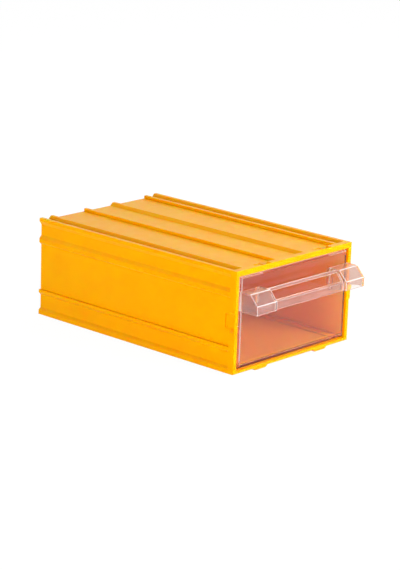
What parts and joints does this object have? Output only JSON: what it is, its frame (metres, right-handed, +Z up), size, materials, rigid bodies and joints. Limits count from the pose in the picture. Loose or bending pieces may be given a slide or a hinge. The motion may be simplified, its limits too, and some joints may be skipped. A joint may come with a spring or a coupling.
{
  "type": "drawer box",
  "caption": "Stackable drawer box: ribbed yellow plastic casing with a clear drawer that slides out of its front and a clear full-width handle.",
  "frame": {"origin": "under the middle of the whole closed box, handle and side lug included, at the level its feet stand on", "axes": "+Z up, -Y out of the drawer's front, +X to the side with the lug, which is the right-hand side seen from the front"},
  "size_m": [0.1424, 0.2382, 0.0855],
  "materials": {
    "casing_plastic": "moulded yellow, fine matt texture with a soft sheen",
    "clear_plastic": "clear, polished",
    "handle_plastic": "clear with a slight haze, glossy"
  },
  "bodies": {
    "casing": {"casing": "casing_plastic"},
    "drawer": {"drawer_tray": "clear_plastic", "handle": "handle_plastic"}
  },
  "joints": [
    {"name": "drawer_slide", "type": "slide", "parent": "casing", "child": "drawer", "axis": [0, -1, 0], "range_m": [0, 0.19]}
  ]
}
